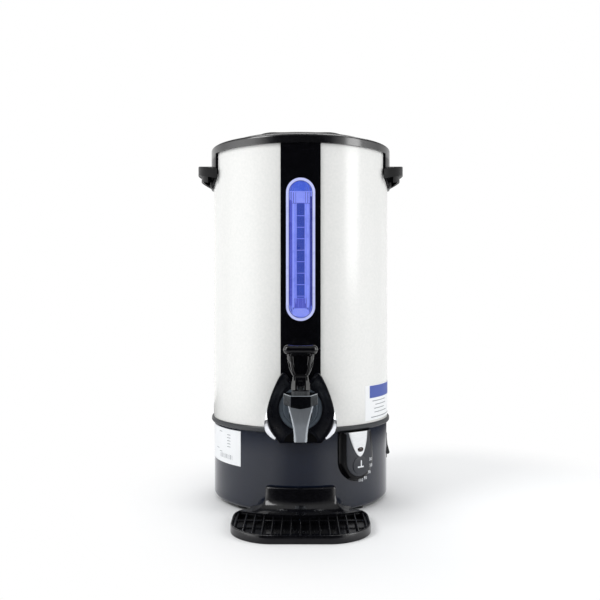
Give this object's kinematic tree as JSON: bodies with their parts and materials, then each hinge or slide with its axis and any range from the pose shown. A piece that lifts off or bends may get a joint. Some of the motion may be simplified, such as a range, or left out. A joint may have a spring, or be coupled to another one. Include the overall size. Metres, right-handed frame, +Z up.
{
  "type": "coffee urn",
  "caption": "Tabletop coffee urn with a double-wall body, lit level window, lever tap, dial thermostat, rocker switch, lift-off lid and slide-in drip tray.",
  "frame": {"origin": "centre of the footprint's box, on the table", "axes": "+Z up, -Y to the front where the tap is, +X to the right seen from the front"},
  "size_m": [0.26, 0.319, 0.4585],
  "materials": {
    "white_enamel": "gloss stove-enamelled steel sheet",
    "gloss_black": "high-gloss injection-moulded plastic",
    "slate_gloss": "gloss moulded plastic, dark slate",
    "dark_satin": "satin moulded plastic, dark grey",
    "inner_plastic": "moulded plastic",
    "chrome_trim": "bright plated",
    "plated_tap": "polished plated tap",
    "stainless": "brushed stainless steel sheet",
    "zinc_steel": "zinc-plated steel",
    "cast_aluminium": "machined aluminium plate",
    "silver_plate": "satin silver plate",
    "black_rubber": "moulded rubber",
    "clear_silicone": "translucent silicone rubber",
    "clear_cover": "clear moulded cover, lit from behind",
    "clear_tube": "clear glass tube",
    "lit_lavender": "diffusing plastic lit by blue light",
    "lit_blue": "blue reflector film, lit",
    "circuit_board": "green circuit board",
    "copper_tube": "drawn copper tube",
    "lamp_lens": "dark red lamp lens, unlit",
    "wire_cover": "soft insulated wire",
    "white_paper": "printed paper sticker"
  },
  "bodies": {
    "root": {"base_housing": "slate_gloss", "base_plate": "inner_plastic", "rubber_feet": "black_rubber", "foot_screws": "zinc_steel", "trim_ring": "dark_satin", "outer_shell": "white_enamel", "front_strip": "gloss_black", "window_frame": "lit_lavender", "window_lens": "clear_cover", "scale_plate": "lit_lavender", "sight_tube": "clear_tube", "tube_elbows": "clear_silicone", "light_reflector": "lit_blue", "led_boards": "circuit_board", "top_rim": "gloss_black", "handle_left": "gloss_black", "handle_right": "gloss_black", "handle_screws": "zinc_steel", "inner_tank": "stainless", "heater_plate": "cast_aluminium", "heater_element": "zinc_steel", "thermal_cutout": "inner_plastic", "tie_bar": "zinc_steel", "tie_bolt": "zinc_steel", "thermostat_body": "zinc_steel", "thermostat_bulb": "copper_tube", "control_panel": "dark_satin", "panel_plate": "silver_plate", "indicator_lamp": "lamp_lens", "switch_frame": "inner_plastic", "power_inlet": "inner_plastic", "inlet_pins": "zinc_steel", "inlet_screws": "zinc_steel", "terminal_block": "inner_plastic", "wiring_loom": "wire_cover", "tap_body": "plated_tap", "tap_bonnet": "plated_tap", "tap_spring": "stainless", "tap_nut": "stainless", "tap_seals": "clear_silicone", "tap_flange": "plated_tap", "tap_shroud": "gloss_black", "shroud_trim": "chrome_trim", "paper_labels": "white_paper"},
    "lid": {"lid_panel": "gloss_black", "lid_gasket": "clear_silicone", "lid_handle": "gloss_black", "lid_screws": "zinc_steel"},
    "percolator": {"percolator_stem": "stainless"},
    "basket": {"coffee_basket": "stainless"},
    "cover": {"basket_cover": "stainless"},
    "dial": {"thermostat_knob": "dark_satin", "thermostat_shaft": "zinc_steel"},
    "rocker": {"switch_rocker": "gloss_black"},
    "valve": {"tap_stem": "stainless", "tap_seat": "clear_silicone"},
    "lever": {"tap_lever": "gloss_black", "lever_pin": "stainless"},
    "tray": {"drip_tray": "gloss_black"},
    "grate": {"drip_grate": "gloss_black"}
  },
  "joints": [
    {"name": "lid_lift", "type": "slide", "parent": "root", "child": "lid", "axis": [0, 0, 1], "range_m": [0, 0.45]},
    {"name": "percolator_lift", "type": "slide", "parent": "root", "child": "percolator", "axis": [0, 0, 1], "range_m": [0, 0.325]},
    {"name": "basket_lift", "type": "slide", "parent": "percolator", "child": "basket", "axis": [0, 0, 1], "range_m": [0, 0.06]},
    {"name": "cover_lift", "type": "slide", "parent": "basket", "child": "cover", "axis": [0, 0, 1], "range_m": [0, 0.032]},
    {"name": "thermostat_turn", "type": "hinge", "parent": "root", "child": "dial", "pos_m": [0.069, -0.04675, 0.0555], "axis": [-0.5948, 0.8039, 0], "range_deg": [0, 180]},
    {"name": "power_rocker", "type": "hinge", "parent": "root", "child": "rocker", "pos_m": [0.106, 0.0465, 0.063], "axis": [0, 1, 0], "range_deg": [0, 20]},
    {"name": "valve_lift", "type": "slide", "parent": "root", "child": "valve", "axis": [0, 0, 1], "range_m": [0, 0.0031], "deforming": ["tap_spring"]},
    {"name": "lever_tilt", "type": "hinge", "parent": "valve", "child": "lever", "pos_m": [0, -0.1185, 0.157], "axis": [1, 0, 0], "range_deg": [0, 40], "stiffness_Nm_per_rad": 0.25, "springref_deg": -17.19},
    {"name": "tray_slide", "type": "slide", "parent": "root", "child": "tray", "axis": [0, -1, 0], "range_m": [0, 0.12]},
    {"name": "grate_lift", "type": "slide", "parent": "tray", "child": "grate", "axis": [0, 0, 1], "range_m": [0, 0.03]}
  ],
  "couplings": [
    {"joint": "percolator_lift", "follows": "lid_lift", "ratio": 0.72},
    {"joint": "basket_lift", "follows": "lid_lift", "ratio": 0.13},
    {"joint": "cover_lift", "follows": "lid_lift", "ratio": 0.07},
    {"joint": "valve_lift", "follows": "lever_tilt", "m_per_rad": 0.0042972}
  ]
}
